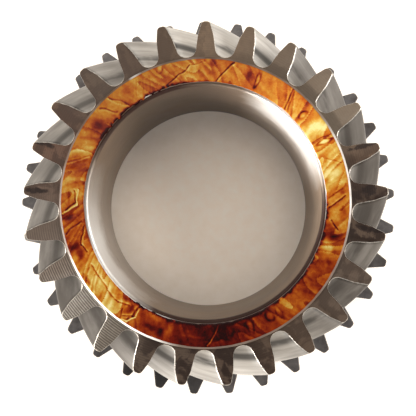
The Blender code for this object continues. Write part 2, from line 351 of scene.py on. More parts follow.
class Shader:
    """A short way to write one Principled BSDF material's node tree."""

    def __init__(self, name):
        self.material = bpy.data.materials.new(name)
        self.material.use_nodes = True
        self.tree = self.material.node_tree
        self.surface = self.tree.nodes["Principled BSDF"]
        self.coordinates = self.add("ShaderNodeTexCoord").outputs["Object"]

    def add(self, kind, sockets=None, **settings):
        """A node with these settings and with these sockets filled."""
        node = self.tree.nodes.new(kind)
        for name, value in settings.items():
            setattr(node, name, value)
        for name, value in (sockets or {}).items():
            self.link(value, node.inputs[name])
        return node

    def link(self, value, socket):
        """Puts a node's output, or a plain value, into a socket."""
        if isinstance(value, bpy.types.NodeSocket):
            self.tree.links.new(value, socket)
        else:
            socket.default_value = value

    def math(self, operation, *values, clamp=False):
        """One step of arithmetic on sockets or plain values."""
        sockets = dict(enumerate(values))
        return self.add("ShaderNodeMath", sockets, operation=operation, use_clamp=clamp).outputs[0]

    def times(self, first, second):
        return self.math("MULTIPLY", first, second)

    def untwisted(self):
        """Object coordinates turned back with depth, so that the helical teeth run along Z."""
        _, _, height = self.place()
        depth = self.math("SUBTRACT", cad_high.z, height)
        sockets = {"Vector": self.coordinates, "Angle": self.times(depth, HELIX_TURN_PER_METRE)}
        return self.add("ShaderNodeVectorRotate", sockets, rotation_type="Z_AXIS").outputs["Vector"]

    def scaled(self, factors, vector=None):
        """Coordinates multiplied by one factor for each axis."""
        sockets = {"Vector": self.coordinates if vector is None else vector, "Scale": factors}
        return self.add("ShaderNodeMapping", sockets).outputs["Vector"]

    def noise(self, scale, detail=4.0, roughness=0.55, vector=None, distortion=0.0):
        """Noise from 0 to 1, with this many features to a metre."""
        sockets = {
            "Vector": self.coordinates if vector is None else vector,
            "Scale": scale,
            "Detail": detail,
            "Roughness": roughness,
            "Distortion": distortion,
        }
        return self.add("ShaderNodeTexNoise", sockets).outputs["Fac"]

    def rings(self, spacing, distortion=0.0):
        """Concentric rings about the axis, from 0 to 1, this far apart."""
        sockets = {
            "Vector": self.coordinates,
            "Scale": math.tau / (WAVE_RADIANS * spacing),
            "Distortion": distortion,
            "Detail": 1.0,
        }
        node = self.add("ShaderNodeTexWave", sockets, wave_type="RINGS", rings_direction="Z")
        return node.outputs["Fac"]

    def place(self):
        """(x, y, z) of the object coordinates."""
        return tuple(self.add("ShaderNodeSeparateXYZ", {0: self.coordinates}).outputs)

    def radius(self):
        """The distance from the axis."""
        x, y, _ = self.place()
        squares = self.math("ADD", self.times(x, x), self.times(y, y))
        return self.math("SQRT", squares)

    def turn(self, wobble=0.0):
        """The compass angle as a share of a full turn, with its edges moved about by noise."""
        x, y, _ = self.place()
        angle = self.math("ARCTAN2", x, y)
        share = self.math("ADD", self.math("DIVIDE", angle, math.tau), 1.0)
        if wobble:
            share = self.math("ADD", share, self.ragged(wobble, self.noise(160.0)))
        return self.math("FRACT", share)

    def ragged(self, amount, value):
        """Noise from 0 to 1 moved to lie about 0, in a band this wide."""
        return self.times(self.math("SUBTRACT", value, 0.5), amount)

    def round_the_axis(self, stops, wobble=0.0):
        """A value for each compass angle, from (share of a full turn, value) stops."""
        return self.grey_ramp(self.turn(wobble), stops)

    def between(self, value, start, end, low=0.0, high=1.0):
        """A smooth step from low at start to high at end."""
        sockets = {"Value": value, "From Min": start, "From Max": end, "To Min": low, "To Max": high}
        return self.add("ShaderNodeMapRange", sockets, interpolation_type="SMOOTHSTEP").outputs["Result"]

    def ramp(self, value, stops):
        """A colour ramp through (position, colour) stops."""
        node = self.add("ShaderNodeValToRGB", {"Fac": value})
        elements = node.color_ramp.elements
        while len(elements) < len(stops):
            elements.new(0.5)
        for element, (position, colour) in zip(elements, stops):
            element.position = position
            element.color = (*colour, 1.0)
        return node.outputs["Color"]

    def grey_ramp(self, value, stops):
        """A ramp through (position, value) stops."""
        return self.ramp(value, [(position, (grey,) * 3) for position, grey in stops])

    def mix(self, factor, first, second):
        """The first colour turning into the second, a plain (red, green, blue), by this factor."""
        if not isinstance(first, bpy.types.NodeSocket):
            first = (*first, 1)
        sockets = {"Factor": factor, "A": first, "B": (*second, 1)}
        return self.add("ShaderNodeMix", sockets, data_type="RGBA").outputs["Result"]

    def bump(self, height, distance, strength=1.0, normal=None):
        """A normal pushed about by a height from 0 to 1, this deep."""
        sockets = {"Strength": strength, "Distance": distance, "Height": height}
        if normal is not None:
            sockets["Normal"] = normal
        return self.add("ShaderNodeBump", sockets).outputs["Normal"]

    def finish(self, **values):
        """Fills the shader's own sockets; names use _ for a space."""
        for name, value in values.items():
            self.link(value, self.surface.inputs[name.replace("_", " ")])
        return self.material


def colour(red, green, blue):
    """A colour given as it looks on screen, made linear for a shader."""
    def linear(value):
        value /= 255
        return value / 12.92 if value <= 0.04045 else ((value + 0.055) / 1.055) ** 2.4
    return (linear(red), linear(green), linear(blue))


# ---------------------------------------------------------------- materials


# The end face's plain colour by compass degrees: paler from 216 to 247 degrees, browner elsewhere
FACE_SHADES = (
    (0, (115, 94, 74)), (29, (96, 81, 66)), (60, (110, 96, 80)), (74, (97, 74, 56)), (82, (92, 70, 54)),
    (87, (50, 34, 24)), (93, (86, 67, 52)), (104, (86, 68, 54)), (118, (97, 81, 68)), (150, (86, 67, 52)),
    (175, (76, 58, 45)), (204, (81, 65, 52)), (216, (132, 122, 109)), (232, (169, 160, 148)),
    (247, (132, 116, 102)), (262, (103, 87, 75)), (290, (103, 74, 58)), (318, (92, 76, 63)),
    (334, (83, 65, 52)), (348, (90, 72, 56)), (360, (115, 94, 74)),
)
# How deep the turning marks show and how much oil has burnt on, by share of a turn
FACE_MARKS = ((0, 0.10), (0.40, 0.15), (0.55, 0.35), (0.60, 1.0), (0.69, 0.95), (0.74, 0.25), (1, 0.10))
FACE_OIL = (
    (0, 0.05), (0.17, 0.05), (0.21, 0.65), (0.285, 0.9), (0.31, 0.45), (0.42, 0.45), (0.47, 0.9),
    (0.555, 0.85), (0.59, 0.05), (0.74, 0.05), (0.765, 0.6), (0.85, 0.6), (0.89, 0.35), (1, 0.3),
)
# Burnt oil spots on the end face: (compass degrees, radius, half length in degrees, half length outwards)
FACE_SPOTS = (
    (85.6, 43.9 * MM, 2.0, 2.0 * MM),
    (70.3, 45.4 * MM, 1.0, 4.6 * MM),
    (99.3, 44.9 * MM, 1.0, 4.6 * MM),
    (274.0, 45.4 * MM, 1.0, 3.6 * MM),
    (290.0, 46.4 * MM, 1.0, 3.0 * MM),
)


def face_steel():
    """The front gear's end face: turned, matt, brownish, with oil stains on some teeth."""
    s = Shader("face_steel")
    grooves = s.rings(0.62 * MM, 0.4)
    turn = s.turn(0.02)
    marked = s.grey_ramp(turn, FACE_MARKS)
    stained = s.grey_ramp(turn, FACE_OIL)
    patches = s.noise(230.0, 5.0, 0.62, distortion=0.6)
    stain = s.times(s.between(patches, 0.42, 0.54), stained)
    mottle = s.noise(900.0, 4.0, 0.6)
    base = s.ramp(turn, [(degrees / 360, colour(*shade)) for degrees, shade in FACE_SHADES])
    base = s.mix(s.between(mottle, 0.3, 0.7, 0.0, 0.35), base, colour(92, 76, 62))
    lined = s.times(s.math("SUBTRACT", 1.0, grooves), marked)
    base = s.mix(s.times(lined, 0.85), base, colour(58, 47, 38))
    base = s.mix(s.times(stain, 0.85), base, colour(34, 19, 13))
    radius = s.radius()
    even_turn = s.turn()
    ragged = s.ragged(5.0, s.noise(520.0, 5.0, 0.7))
    for degrees, middle, half_turn, half_radius in FACE_SPOTS:
        aside = s.math("DIVIDE", s.math("SUBTRACT", even_turn, degrees / 360), half_turn / 360)
        outwards = s.math("DIVIDE", s.math("SUBTRACT", radius, middle), half_radius)
        squares = s.math("ADD", s.times(aside, aside), s.times(outwards, outwards))
        spot = s.between(s.math("ADD", squares, ragged), 0.2, 1.4, 0.85, 0.0)
        base = s.mix(spot, base, colour(30, 17, 11))
    height = s.times(grooves, s.math("ADD", marked, 0.15))
    normal = s.bump(height, 0.05 * MM, 0.8)
    normal = s.bump(mottle, 0.02 * MM, 0.5, normal)
    return s.finish(
        Base_Color=base,
        Metallic=0.55,
        Roughness=s.between(stain, 0.0, 1.0, 0.55, 0.38),
        Normal=normal,
    )


# Painted shade on the flanks by compass degrees: darker all round but at the top and the bottom of the
# gear, where the flanks face the side lamps
FLANK_PAINTED_SHADE = (
    (0, 0.0), (18, 0.15), (37, 0.85), (65, 0.9), (94, 1.0), (123, 1.0), (152, 0.45), (168, 0.2),
    (190, 0.35), (209, 0.92), (238, 1.0), (267, 0.78), (296, 0.65), (325, 0.72), (345, 0.1), (360, 0.0),
)


def flank_steel():
    """Tooth flanks: bright, drawn along the tooth, with a painted dark reflection where the fillet starts
    and painted shade by compass angle.
    """
    s = Shader("flank_steel")
    radius = s.radius()
    along = s.untwisted()
    streaks = s.noise(700.0, 3.0, 0.6, vector=s.scaled((1.0, 1.0, 0.05), along))
    clouds = s.noise(190.0, 4.0, 0.55, vector=s.scaled((1.0, 1.0, 0.22), along))
    base = s.ramp(streaks, [(0.3, colour(158, 154, 149)), (0.7, colour(210, 207, 202))])
    # Painted reflection: a dark band low on each flank, where the neighbouring tooth shows in the steel
    low_side = s.between(radius, 41.8 * MM, 42.8 * MM)
    high_side = s.between(radius, 43.4 * MM, 44.8 * MM, 1.0, 0.0)
    streak = s.times(s.times(low_side, high_side), s.between(clouds, 0.30, 0.50))
    base = s.mix(s.times(streak, 0.9), base, colour(38, 35, 34))
    # Painted shade: the flanks darkened by compass angle as the light falls, broken up by the clouds
    painted_flank_shade = s.round_the_axis([(degrees / 360, share) for degrees, share in FLANK_PAINTED_SHADE])
    painted_flank_shade = s.times(painted_flank_shade, s.between(clouds, 0.3, 0.6, 0.82, 1.0))
    base = s.mix(painted_flank_shade, base, colour(60, 53, 47))
    fine = s.noise(2600.0, 2.0, 0.6, vector=s.scaled((1.0, 1.0, 0.1), along))
    normal = s.bump(fine, 0.01 * MM, 0.35)
    return s.finish(
        Base_Color=base,
        Metallic=0.6,
        Roughness=s.between(clouds, 0.3, 0.7, 0.34, 0.48),
        Normal=normal,
    )


def burr_and_highlight_steel():
    """The broken edge round each tooth: paler than the flanks, with nicks, a painted highlight on top of
    the light that the edge catches.
    """
    s = Shader("burr_and_highlight_steel")
    nicks = s.noise(1500.0, 3.0, 0.7)
    # Painted highlight: pale metal all along the edge break, with nicks
    base = s.ramp(nicks, [(0.3, colour(120, 108, 96)), (0.6, colour(226, 218, 206))])
    return s.finish(Base_Color=base, Metallic=0.8, Roughness=0.32, Normal=s.bump(nicks, 0.04 * MM, 0.6))


def round_scratches(s, clouds_per_metre, scratches_share):
    """(fine scratches round the axis, soft clouds, a blend of both) for this shader."""
    scratches = s.noise(3.0, 3.0, 0.6, vector=s.scaled((60.0, 60.0, 900.0)))
    clouds = s.noise(clouds_per_metre, 4.0, 0.55)
    scratched = s.times(scratches, scratches_share)
    clouded = s.times(clouds, 1 - scratches_share)
    return scratches, clouds, s.math("ADD", scratched, clouded)


# The bore's marks, by share of a turn: painted shade at the top of the bore, a painted shadow at the mouth,
# painted highlights on two sides, specks
BORE_PAINTED_SHADE = ((0, 0.7), (0.05, 0.5), (0.1, 0.0), (0.84, 0.0), (0.9, 0.55), (1, 0.7))
BORE_PAINTED_MOUTH_SHADOW = (
    (0, 0.0), (0.22, 0.0), (0.25, 1.0), (0.57, 1.0), (0.61, 0.1), (0.80, 0.0), (0.83, 0.95), (0.96, 0.95),
    (1.0, 0.0),
)
BORE_PAINTED_HIGHLIGHT = (
    (0.05, 0.0), (0.09, 0.7), (0.14, 1.0), (0.19, 0.7), (0.23, 0.0), (0.57, 0.0), (0.63, 0.7), (0.70, 0.95),
    (0.75, 0.5), (0.81, 0.0),
)
BORE_SPECKS = ((0.5, 0.0), (0.56, 0.8), (0.68, 0.8), (0.74, 0.1))


def bore_steel():
    """The reamed bore: warm grey with dark specks, painted highlights on two sides, painted shade at the
    top and a painted shadow round part of its mouth.
    """
    s = Shader("bore_steel")
    scratches, clouds, blend = round_scratches(s, clouds_per_metre=60.0, scratches_share=0.4)
    _, _, height = s.place()
    base = s.ramp(blend, [(0.35, colour(112, 92, 74)), (0.65, colour(150, 130, 110))])
    # Painted shade on the top of the bore wall, where the lamps don't reach
    base = s.mix(s.round_the_axis(BORE_PAINTED_SHADE, 0.03), base, colour(62, 47, 38))
    # Painted shadow: a dark band just inside the mouth, in the gap under the film's rim
    lip = s.times(s.between(height, 42.9 * MM, 43.4 * MM), s.round_the_axis(BORE_PAINTED_MOUTH_SHADOW, 0.02))
    base = s.mix(s.times(lip, 0.9), base, colour(46, 18, 12))
    # Painted highlight: pale on two sides of the wall, strongest towards the front, where the low lamps
    # reach
    ragged_height = s.math("ADD", height, s.ragged(16 * MM, s.noise(150.0, 5.0, 0.65)))
    high = s.between(ragged_height, 20 * MM, 32 * MM, 0.3, 1.0)
    painted_bore_highlight = s.times(s.round_the_axis(BORE_PAINTED_HIGHLIGHT, 0.03), high)
    base = s.mix(s.times(painted_bore_highlight, 0.9), base, colour(236, 232, 226))
    dots = s.between(s.noise(240.0, 5.0, 0.6), 0.60, 0.72)
    specks = s.times(dots, s.round_the_axis(BORE_SPECKS))
    base = s.mix(s.times(specks, 0.6), base, colour(84, 56, 38))
    return s.finish(
        Base_Color=base,
        Metallic=0.35,
        Roughness=s.between(clouds, 0.3, 0.7, 0.36, 0.46),
        Normal=s.bump(scratches, 0.006 * MM, 0.35),
    )


def ground_steel(name, dark, light, roughness=0.32):
    """Ground steel with fine scratches round the axis."""
    s = Shader(name)
    scratches, clouds, blend = round_scratches(s, clouds_per_metre=75.0, scratches_share=0.5)
    return s.finish(
        Base_Color=s.ramp(blend, [(0.35, colour(*dark)), (0.65, colour(*light))]),
        Metallic=0.95,
        Roughness=s.between(clouds, 0.3, 0.7, roughness, roughness + 0.12),
        Normal=s.bump(scratches, 0.006 * MM, 0.35),
    )


# Painted highlights on the front washer's edge, by share of a turn
CHAMFER_PAINTED_HIGHLIGHT = (
    (0, 0.05), (0.15, 0.1), (0.18, 0.65), (0.25, 0.6), (0.28, 0.1), (0.53, 0.1), (0.56, 0.95), (0.67, 1.0),
    (0.70, 0.15), (0.91, 0.0), (0.92, 0.8), (0.93, 0.1),
)


def chamfer_steel():
    """The front washer's edge: painted highlights on two sides, under brown film elsewhere."""
    s = Shader("chamfer_steel")
    clouds = s.noise(300.0, 4.0, 0.55)
    # Painted highlight: the edge pale where the lamps catch it, brown elsewhere
    base = s.mix(s.round_the_axis(CHAMFER_PAINTED_HIGHLIGHT, 0.02), colour(92, 66, 46), colour(244, 238, 228))
    base = s.mix(s.between(clouds, 0.45, 0.75, 0.0, 0.35), base, colour(120, 84, 54))
    return s.finish(Base_Color=base, Metallic=0.35, Roughness=0.5, Normal=s.bump(clouds, 0.02 * MM, 0.4))


# Two places on the rear ring, by share of a turn: one with painted shade, one with a painted highlight
RING_PAINTED_SHADE = ((0.48, 0.0), (0.53, 0.8), (0.57, 0.8), (0.61, 0.0))
RING_PAINTED_HIGHLIGHT = ((0.71, 0.0), (0.722, 0.5), (0.733, 0.5), (0.745, 0.0))


def dark_tooth_steel():
    """The rear ring's teeth: dark, matt machined steel, with painted shade and a painted highlight in two
    places.
    """
    s = Shader("dark_tooth_steel")
    mottle = s.noise(420.0, 5.0, 0.6)
    grooves = s.rings(0.45 * MM, 0.3)
    base = s.ramp(mottle, [(0.3, colour(84, 79, 77)), (0.7, colour(112, 106, 102))])
    oil = s.between(s.noise(140.0, 3.0, 0.5), 0.52, 0.68)
    base = s.mix(s.times(oil, 0.5), base, colour(60, 50, 44))
    turn = s.turn(0.01)
    # Painted shade at the bottom of the ring and a painted highlight at the left
    base = s.mix(s.grey_ramp(turn, RING_PAINTED_SHADE), base, colour(40, 37, 36))
    base = s.mix(s.grey_ramp(turn, RING_PAINTED_HIGHLIGHT), base, colour(186, 180, 172))
    normal = s.bump(s.math("ADD", grooves, mottle), 0.02 * MM, 0.5)
    return s.finish(Base_Color=base, Metallic=0.7, Roughness=0.45, Normal=normal)


def amber_film():
    """Dried preservative film: glossy, from pale yellow through orange to maroon where it is thick."""
    s = Shader("amber_film")
    drawn = s.add("ShaderNodeAttribute", attribute_name="tone").outputs["Fac"]
    marbling = s.noise(900.0, 4.0, 0.62, distortion=1.1)
    tone = s.math("ADD", drawn, s.ragged(0.34, marbling), clamp=True)
    base = s.ramp(
        tone,
        [(0.0, colour(190, 172, 112)), (0.14, colour(174, 144, 66)), (0.32, colour(162, 104, 27)),
         (0.46, colour(148, 71, 12)), (0.60, colour(122, 41, 6)), (0.76, colour(90, 16, 4)),
         (0.90, colour(60, 5, 2)), (1.0, colour(26, 4, 3))],
    )
    normal = s.bump(marbling, 0.04 * MM, 0.3)
    return s.finish(
        Base_Color=base,
        Metallic=0.0,
        Roughness=0.4,
        Specular_IOR_Level=0.06,
        Coat_Weight=0.1,
        Coat_Roughness=0.12,
        Normal=normal,
    )


def cage_brass():
    """Pressed brass, slightly brushed."""
    s = Shader("cage_brass")
    mottle = s.noise(300.0, 4.0, 0.6)
    base = s.ramp(mottle, [(0.3, colour(170, 132, 66)), (0.7, colour(214, 176, 104))])
    return s.finish(Base_Color=base, Metallic=1.0, Roughness=0.34, Normal=s.bump(mottle, 0.01 * MM, 0.4))


def pale_floor():
    """A plain, pale, warm paper floor, with a painted shadow a little darker under the part and a painted
    glow that makes it white round the part.
    """
    s = Shader("pale_floor")
    fibres = s.noise(260.0, 5.0, 0.6)
    base = s.ramp(fibres, [(0.3, colour(246, 230, 208)), (0.7, colour(252, 238, 220))])
    radius = s.radius()
    # Painted shadow: a darker ring under the part's bore
    past_middle = s.between(radius, 20 * MM, 31 * MM)
    under = s.times(past_middle, s.between(radius, 36 * MM, 44 * MM, 1.0, 0.0))
    base = s.mix(s.times(under, 0.2), base, colour(150, 134, 116))
    # Painted light: the floor glows white round the part, so that no shadow shows there
    painted_glow = s.between(radius, 42 * MM, 54 * MM, 0.06, 0.55)
    return s.finish(
        Base_Color=base,
        Roughness=0.9,
        Emission_Color=(1, 1, 1, 1),
        Emission_Strength=painted_glow,
        Normal=s.bump(fibres, 0.03 * MM, 0.3),
    )


# ---------------------------------------------------------------- pieces


def fine_piece(mesh, materials, body, node):
    """A piece fixed to its body, in place of its CAD node."""
    piece = new_object(f"{node}_fine", mesh, materials)
    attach(piece, body)
    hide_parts(node)


def helical_gear(materials):
    """The front gear with its hub, journal, groove and raceway, as one closed loft."""
    face, burr_and_highlight, flank, ground = range(4)
    low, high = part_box("helical_gear")
    front = high.z
    teeth_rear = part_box("ring_gear")[1].z + FACE_GAP
    holes_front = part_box("dowel_1")[1].z + FACE_GAP
    groove_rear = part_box("snap_ring")[0].z - SIDE_GAP
    groove_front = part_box("snap_ring")[1].z + SIDE_GAP
    outline = gear_outline(HELICAL_TEETH, HELICAL_TOOTH, HELICAL_PHASE)
    inset = shrunk(outline, EDGE_BREAK)

    def turn_at(height):
        return -HELIX_TURN_PER_METRE * (front - height)

    def circle(radius, height, notch=None):
        return circle_under(outline, radius, height, turn_at(height), notch)

    rings = [
        circle(RACEWAY_RADIUS + EDGE_BREAK, front),
        circle(JOURNAL_RADIUS - EDGE_BREAK, front),
        at_height(inset, front, turn_at(front)),
    ]
    finishes = [face, face, burr_and_highlight]
    teeth_low = teeth_rear + EDGE_BREAK
    teeth_high = front - EDGE_BREAK
    for section in range(HELICAL_SECTIONS + 1):
        height = teeth_high + (teeth_low - teeth_high) * section / HELICAL_SECTIONS
        rings.append(at_height(outline, height, turn_at(height)))
        finishes.append(flank)
    finishes[-1] = burr_and_highlight
    rings.append(at_height(inset, teeth_rear, turn_at(teeth_rear)))
    rings.append(circle(JOURNAL_RADIUS, teeth_rear))
    rings.append(circle(JOURNAL_RADIUS, holes_front))
    for radius, height in (
        (JOURNAL_RADIUS, holes_front - SIDE_GAP),
        (JOURNAL_RADIUS, groove_front),
        (SNAP_GROOVE_RADIUS, groove_front),
        (SNAP_GROOVE_RADIUS, groove_rear),
        (JOURNAL_RADIUS, groove_rear),
        (JOURNAL_RADIUS, low.z + EDGE_BREAK),
        (JOURNAL_RADIUS - EDGE_BREAK, low.z),
    ):
        rings.append(circle(radius, height, "inward"))
    rings.append(circle(RACEWAY_RADIUS + EDGE_BREAK, low.z))
    for section in range(RACEWAY_SECTIONS + 1):
        height = low.z + EDGE_BREAK + (front - low.z - 2 * EDGE_BREAK) * section / RACEWAY_SECTIONS
        rings.append(circle(RACEWAY_RADIUS, height))
    finishes += [ground] * (len(rings) - len(finishes))
    mesh = loft_mesh("helical_gear_fine", rings, finishes)
    used = [materials[name] for name in ("face", "burr_and_highlight", "flank", "ground")]
    fine_piece(mesh, used, "gear_cluster", "helical_gear")


def ring_gear(materials):
    """The rear ring gear, with chamfered teeth."""
    low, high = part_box("ring_gear")
    holes_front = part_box("dowel_1")[1].z + SIDE_GAP
    outline = gear_outline(RING_TEETH, RING_TOOTH, RING_PHASE)
    chamfer = 2 * EDGE_BREAK
    inset = shrunk(outline, chamfer)
    seat = JOURNAL_RADIUS + SIDE_GAP
    rings = [
        circle_under(outline, seat + EDGE_BREAK, high.z),
        at_height(inset, high.z),
        at_height(outline, high.z - chamfer),
        at_height(outline, low.z + chamfer),
        at_height(inset, low.z),
        circle_under(outline, seat + EDGE_BREAK, low.z, notch="outward"),
        circle_under(outline, seat, low.z + EDGE_BREAK, notch="outward"),
        circle_under(outline, seat, holes_front, notch="outward"),
        circle_under(outline, seat, holes_front + SIDE_GAP),
        circle_under(outline, seat, high.z - EDGE_BREAK),
    ]
    mesh = loft_mesh("ring_gear_fine", rings)
    fine_piece(mesh, [materials["dark"]], "gear_cluster", "ring_gear")


def washers(materials):
    """The two thrust washers; the front one is thinner by its film and has a wide chamfer."""
    inner = WASHER_INNER_RADIUS
    low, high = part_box("front_thrust_washer")
    outer = (high.x - low.x) / 2
    front = high.z - FILM_THICKNESS
    chamfer_foot = front - WASHER_CHAMFER_DEPTH
    front_profile = [
        (outer - WASHER_CHAMFER, front),
        (outer - WASHER_EDGE, chamfer_foot),
        (outer, chamfer_foot - WASHER_EDGE),
        (outer, low.z + EDGE_BREAK),
        (outer - EDGE_BREAK, low.z),
        (inner + EDGE_BREAK, low.z),
        (inner, low.z + EDGE_BREAK),
        (inner, front - EDGE_BREAK),
        (inner + EDGE_BREAK, front),
    ]
    low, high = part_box("rear_thrust_washer")
    rear_profile = rounded_ring_profile(inner, outer, low.z, high.z, 2 * EDGE_BREAK)
    for node, profile, finish, slot in (
        ("front_thrust_washer", front_profile, "chamfer", "amber_film"),
        ("rear_thrust_washer", rear_profile, "ground", "washer_steel"),
    ):
        mesh = turned_mesh(f"{node}_fine", profile)
        fine_piece(mesh, [materials[finish]], "sleeve_and_washers", node)


# The film's marks. Places are (compass degrees, share of the width outwards from the bore).
# Tone runs from 0, thin and pale yellow, to 1, thick and maroon.
FILM_TONES = (
    (0, 0.45), (8, 0.40), (18, 0.48), (24, 0.42), (34, 0.40), (44, 0.38), (52, 0.27), (57, 0.18),
    (62, 0.28), (70, 0.30), (77, 0.20), (84, 0.44), (92, 0.42), (99, 0.40), (104, 0.60), (111, 0.42),
    (118, 0.58), (134, 0.60), (141, 0.46), (148, 0.64), (158, 0.72), (168, 0.84), (176, 0.93), (189, 0.90),
    (195, 0.66), (202, 0.74), (209, 0.56), (216, 0.34), (222, 0.22), (238, 0.24), (246, 0.32), (252, 0.54),
    (258, 0.52), (266, 0.55), (272, 0.42), (279, 0.42), (285, 0.54), (293, 0.30), (300, 0.46), (306, 0.52),
    (314, 0.38), (325, 0.44), (338, 0.40), (346, 0.38), (354, 0.36), (360, 0.43),
)
# How much painted shade darkens the film's edge at the bore, and how far crumbs of it hang over the bore,
# by compass degrees
INNER_EDGE_PAINTED_SHADE = (
    (0, 0.3), (20, 0.0), (85, 0.0), (92, 1.0), (200, 1.0), (216, 0.5), (225, 0.1), (290, 0.2), (302, 0.9),
    (342, 1.0), (350, 0.5), (360, 0.3),
)
CRUMBS = (
    (0, 0.0), (202, 0.0), (206, 0.8), (214, 0.8), (220, 0.0), (296, 0.0), (304, 0.9), (340, 1.0),
    (348, 0.0), (360, 0.0),
)
# (compass degrees, half length in degrees): smooth places between the folds
CALM_PLACES = ((28, 10), (183, 9))
# (centre, half length in degrees, half width as a share, lean in degrees across the width, tone added)
PATCHES = (
    ((3.5, 0.85), 1.5, 0.20, 0, 0.30),
    ((19.5, 0.55), 1.0, 0.25, 0, 0.28),
    ((45.0, 0.92), 2.0, 0.10, 0, 0.20),
    ((56.0, 0.60), 2.5, 0.30, -2, -0.12),
    ((79.0, 0.50), 4.0, 0.40, -5, -0.12),
    ((85.0, 0.65), 2.0, 0.20, -5, 0.20),
    ((94.5, 0.72), 2.5, 0.15, 0, 0.18),
    ((105.5, 0.60), 1.8, 0.30, 1, 0.28),
    ((110.5, 0.40), 2.5, 0.20, 0, -0.26),
    ((116.0, 0.70), 1.2, 0.15, -2, 0.22),
    ((126.0, 0.35), 0.7, 0.18, 0, 0.18),
    ((140.0, 0.65), 2.0, 0.28, 0, -0.22),
    ((163.0, 0.40), 2.0, 0.30, 0, 0.15),
    ((170.5, 0.40), 1.6, 0.25, 0, 0.18),
    ((185.0, 0.55), 5.0, 0.08, 1, -0.14),
    ((195.5, 0.45), 1.3, 0.50, -2, -0.16),
    ((199.0, 0.72), 1.2, 0.18, 0, 0.25),
    ((203.5, 0.62), 3.8, 0.13, -3, 0.28),
    ((203.0, 0.18), 3.5, 0.12, 0, -0.20),
    ((219.0, 0.15), 3.0, 0.10, -4, 0.40),
    ((236.5, 0.86), 2.6, 0.12, 0, 0.40),
    ((214.8, 0.35), 1.6, 0.25, 0, 0.40),
    ((248.0, 0.62), 3.5, 0.14, 0, 0.30),
    ((251.3, 0.70), 1.2, 0.28, 2, 0.35),
    ((263.7, 0.70), 1.3, 0.20, 3, 0.42),
    ((272.0, 0.66), 3.0, 0.07, 0, 0.24),
    ((280.0, 0.55), 0.8, 0.50, 1, -0.14),
    ((285.5, 0.55), 2.6, 0.40, 4, 0.14),
    ((294.0, 0.60), 3.0, 0.45, 3, -0.12),
    ((305.0, 0.52), 3.4, 0.22, 4, 0.22),
    ((326.0, 0.70), 1.6, 0.22, 2, 0.16),
)
# (start, end, depth): narrow valleys, their dark line partly the film's fold and partly painted shade, with
# a paler lip, a painted highlight, on the right of the way from start to end
CREASES = (
    ((5.0, 0.02), (12.0, 0.95), 0.75),
    ((38.0, 1.00), (40.5, 0.08), 0.55),
    ((39.2, 0.95), (41.6, 0.10), 0.30),
    ((61.2, 0.02), (61.5, 0.98), 0.45),
    ((61.9, 0.02), (62.1, 0.98), 0.45),
    ((70.0, 0.30), (74.0, 0.90), 0.25),
    ((82.5, 0.90), (88.0, 0.15), 0.35),
    ((87.4, 0.85), (92.3, 0.10), 0.75),
    ((98.4, 0.25), (101.6, 0.58), 0.65),
    ((173.0, 0.02), (179.0, 0.95), -0.55),
    ((211.6, 0.15), (211.4, 0.60), -0.90),
    ((211.4, 0.60), (213.4, 0.92), -0.90),
    ((213.4, 0.92), (217.0, 1.00), -0.60),
    ((212.6, 0.20), (212.6, 0.62), 0.60),
    ((212.6, 0.62), (216.0, 0.80), 0.50),
    ((216.0, 0.30), (221.0, 0.46), 0.60),
    ((221.0, 0.46), (241.0, 0.34), 0.60),
    ((216.0, 0.95), (217.5, 0.55), 0.50),
    ((247.0, 0.30), (251.0, 0.42), 0.80),
    ((251.0, 0.42), (259.0, 0.08), 0.80),
    ((257.0, 0.95), (261.2, 0.20), 0.50),
    ((266.6, 0.85), (270.0, 0.32), 0.95),
    ((270.0, 0.32), (275.0, 0.42), 0.85),
    ((265.4, 0.98), (268.6, 0.32), -0.75),
    ((268.6, 0.32), (275.5, 0.24), -0.75),
    ((286.0, 0.98), (292.0, 0.10), 0.35),
    ((311.5, 0.90), (316.5, 0.25), 0.50),
    ((317.5, 0.92), (322.5, 0.08), 0.40),
    ((327.0, 0.20), (330.5, 0.85), 0.12),
    ((330.5, 0.15), (333.5, 0.80), 0.12),
    ((334.0, 0.15), (336.5, 0.75), 0.10),
    ((342.0, 0.05), (354.0, 0.72), 0.60),
    ((354.0, 0.72), (360.0, 0.90), 0.25),
)
# (centre, half length in degrees, half width as a share, depth): drips and blisters with dark rims
LOOPS = (
    ((23.4, 0.55), 0.9, 0.34, 0.40),
    ((48.6, 0.42), 1.1, 0.24, 0.50),
    ((63.4, 0.55), 0.9, 0.34, 0.50),
    ((146.0, 0.45), 1.3, 0.30, 0.30),
    ((150.5, 0.38), 1.7, 0.25, 0.35),
    ((160.0, 0.42), 1.6, 0.30, 0.35),
    ((170.0, 0.40), 2.4, 0.32, 0.25),
    ((341.0, 0.88), 1.1, 0.18, 0.40),
)


# The film's noise: (amount, size of its features, seed) for each layer
WANDER_ALONG = ((0.6, 3.2 * MM, 11.0), (0.10, 0.9 * MM, 12.0))
WANDER_ACROSS = ((0.08, 2.6 * MM, 13.0), (0.02, 0.8 * MM, 14.0))
MOTTLE = ((0.12, 3.4 * MM, 15.0), (0.08, 1.3 * MM, 16.0))
FOLD_LEAN = ((5.0, 14 * MM, 20.0),)
FOLDS = ((2.4, 4.6 * MM, 18.0),)
STREAKS = ((1.0, 0.8 * MM, 19.0),)
INNER_EDGE_SHADE_CLUMPS = ((1.6, 0.9 * MM, 21.0),)
CREASE_NOISE = ((0.6, 1.0 * MM, 22.0),)
LOOP_NOISE = ((0.9, 1.2 * MM, 23.0),)
BLISTERS = ((0.2, 1.6 * MM, 17.0),)
